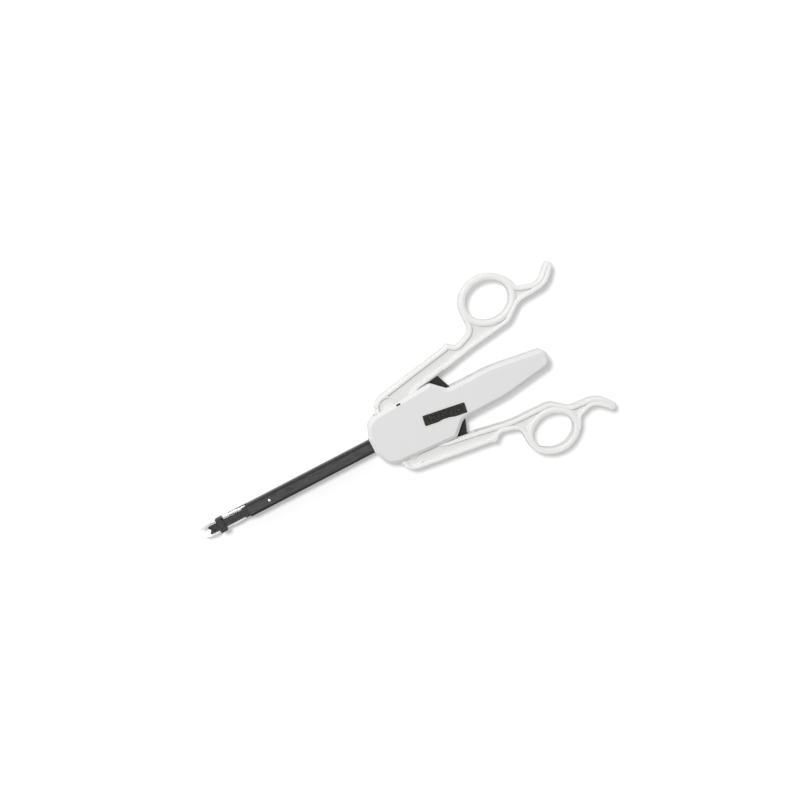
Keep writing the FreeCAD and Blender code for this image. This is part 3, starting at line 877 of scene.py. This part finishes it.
@dataclass
class Drive:
    """The links, the carriage, their pins and the return spring."""

    spring_turns: int = 8
    spring_radius: float = 2.7
    spring_wire: float = 0.8
    spring_chords: int = 40
    spring_tip: float = 0.04
    travel: float = 8.64

    def spring(self, finishes: Finishes) -> None:
        """Makes the coil of flat wire in place of the CAD spring, which it hides; the coil rides the housing at one
        fixed length.

        Its line is (front + pitch * turn, radius * cos(2 pi turn), radius * sin(2 pi turn)), and its section is a
        rounded square in the plane of the radius and X, which shrinks to nothing at both ends.

        Args:
            finishes: The materials.
        """
        low, high = (corner.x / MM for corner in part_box("return_spring"))
        half = self.spring_wire / 2
        turn = np.linspace(0, self.spring_turns, self.spring_chords * self.spring_turns + 1)
        grow = domed(np.minimum(turn, self.spring_turns - turn), self.spring_tip)
        section = grow[:, None, None] * crown(half, half, 8.0, 16)[None, :, :]
        angle = 2 * math.pi * turn[:, None]
        radius = self.spring_radius + section[:, :, 0]
        x = low + half + (high - low - 2 * half) * turn[:, None] / self.spring_turns + section[:, :, 1]
        grid = np.stack([x, radius * np.cos(angle), MID_Z + radius * np.sin(angle)], axis=2)
        coil = skin("return_coil", grid, False, finishes.steel, "housing")
        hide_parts("return_spring")
        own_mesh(coil)

    def build(self, finishes: Finishes) -> None:
        """Dresses the moving pieces in the housing.

        Args:
            finishes: The materials.
        """
        finishes.dress(finishes.black, ["right_link", "left_link", "drive_slide", "spring_guide"])
        finishes.dress(finishes.steel, ["right_slide_pin", "left_slide_pin", "right_handle_pin", "left_handle_pin",
                                        "right_pivot_pin", "left_pivot_pin"])
        self.spring(finishes)


# Studio

@dataclass(frozen=True)
class Lamp:
    """A round soft lamp that shines at the instrument."""

    name: str
    towards: tuple[float, float, float]
    away: float
    size: float
    power: float

    def hang(self, target: Vector) -> None:
        """Makes the lamp.

        Args:
            target: What it shines at, in metres.
        """
        lamp = bpy.data.lights.new(self.name, "AREA")
        lamp.shape = "DISK"
        lamp.size = self.size
        lamp.energy = self.power
        thing = bpy.data.objects.new(self.name, lamp)
        direction = Vector(self.towards).normalized()
        thing.location = direction * self.away + target
        thing.rotation_euler = direction.to_track_quat("Z", "Y").to_euler()
        bpy.context.scene.collection.objects.link(thing)


@dataclass
class Studio:
    """The table, the lights and the camera."""

    image_width: int = 800
    millimetres_per_pixel: float = 0.5727
    turn: float = 27.65
    tilt: float = 6.5
    sensor: float = 36.0
    distance: float = 900.0
    look_at: tuple[float, float, float] = (7.7, 16.0, 7.5)
    table_colour: Colour = (0.80, 0.80, 0.80)
    table_glow: float = 0.30
    table_half: float = 6.0
    table_fade: Span = (260.0, 1500.0)
    sky: float = 0.28
    lamps: tuple[Lamp, ...] = (Lamp("key", (-0.33, 1.0, 2.9), 3.0, 0.68, 58.4),
                               Lamp("side", (-0.33, 1.0, 0.7), 3.0, 2.4, 16.0))

    def table(self) -> None:
        """Lays the pale table, whose glow is for the eye only and grows far off, where the lamps fade."""
        half = self.table_half
        mesh = bpy.data.meshes.new("table")
        mesh.from_pydata([(-half, -half, 0), (half, -half, 0), (half, half, 0), (-half, half, 0)], [], [(0, 1, 2, 3)])
        table = bpy.data.objects.new("table", mesh)
        bpy.context.scene.collection.objects.link(table)
        board = Board.material("table")
        far = board.away().ramp(*self.table_fade)
        glow = board.seen() * (self.table_glow + far * (1 - self.table_glow))
        mesh.materials.append(board.finish({
            "Base Color": (*self.table_colour, 1.0), "Roughness": 1.0, "Specular IOR Level": 0.0,
            "Emission Color": (1.0, 1.0, 1.0, 1.0), "Emission Strength": glow,
        }))

    def lights(self) -> None:
        """Sets an even sky, white to the eye, and the soft lamps, both from the upper left of the picture."""
        board = Board(bpy.data.worlds.new("sky"), "Background")
        strength = board.seen() * (1 - self.sky) + self.sky
        bpy.context.scene.world = board.finish({"Color": (1.0, 1.0, 1.0, 1.0), "Strength": strength})
        for lamp in self.lamps:
            lamp.hang(Vector(self.look_at) * MM)

    def camera(self) -> None:
        """Places the camera over the table, leaning towards +Y, so that the shaft points down to the left."""
        tilt = math.radians(self.tilt)
        turn = math.radians(self.turn)
        back = Vector((0, math.sin(tilt), math.cos(tilt)))
        right = Vector((math.cos(turn), -math.sin(turn), 0))
        right = (right - back * right.dot(back)).normalized()
        up = back.cross(right)
        lens = bpy.data.cameras.new("camera")
        field = self.millimetres_per_pixel * self.image_width
        lens.sensor_width = self.sensor
        lens.lens = self.sensor * self.distance / field
        lens.clip_start = 0.05
        camera = bpy.data.objects.new("camera", lens)
        place = (Vector(self.look_at) + back * self.distance) * MM
        camera.matrix_world = Matrix((right, up, back)).transposed().to_4x4()
        camera.location = place
        bpy.context.scene.collection.objects.link(camera)
        bpy.context.scene.camera = camera

    def build(self) -> None:
        """Sets up the whole studio."""
        self.table()
        self.lights()
        self.camera()
        bpy.context.scene.view_settings.view_transform = "Standard"


def main() -> None:
    """Builds the looks in order."""
    logging.basicConfig(level=logging.INFO, format="%(name)s: %(message)s")
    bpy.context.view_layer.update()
    finishes = Finishes()
    RingHandle(Side.RIGHT, 33.2, 13.0, 11.2, 32.9, 48.7, 119.6).build(finishes)
    RingHandle(Side.LEFT, 30.4, 12.3, 9.7, 31.0, 46.0, 116.5).build(finishes)
    Housing().build(finishes)
    Shaft().build(finishes)
    Drive().build(finishes)
    Studio().build()


if __name__ == "__main__":
    main()
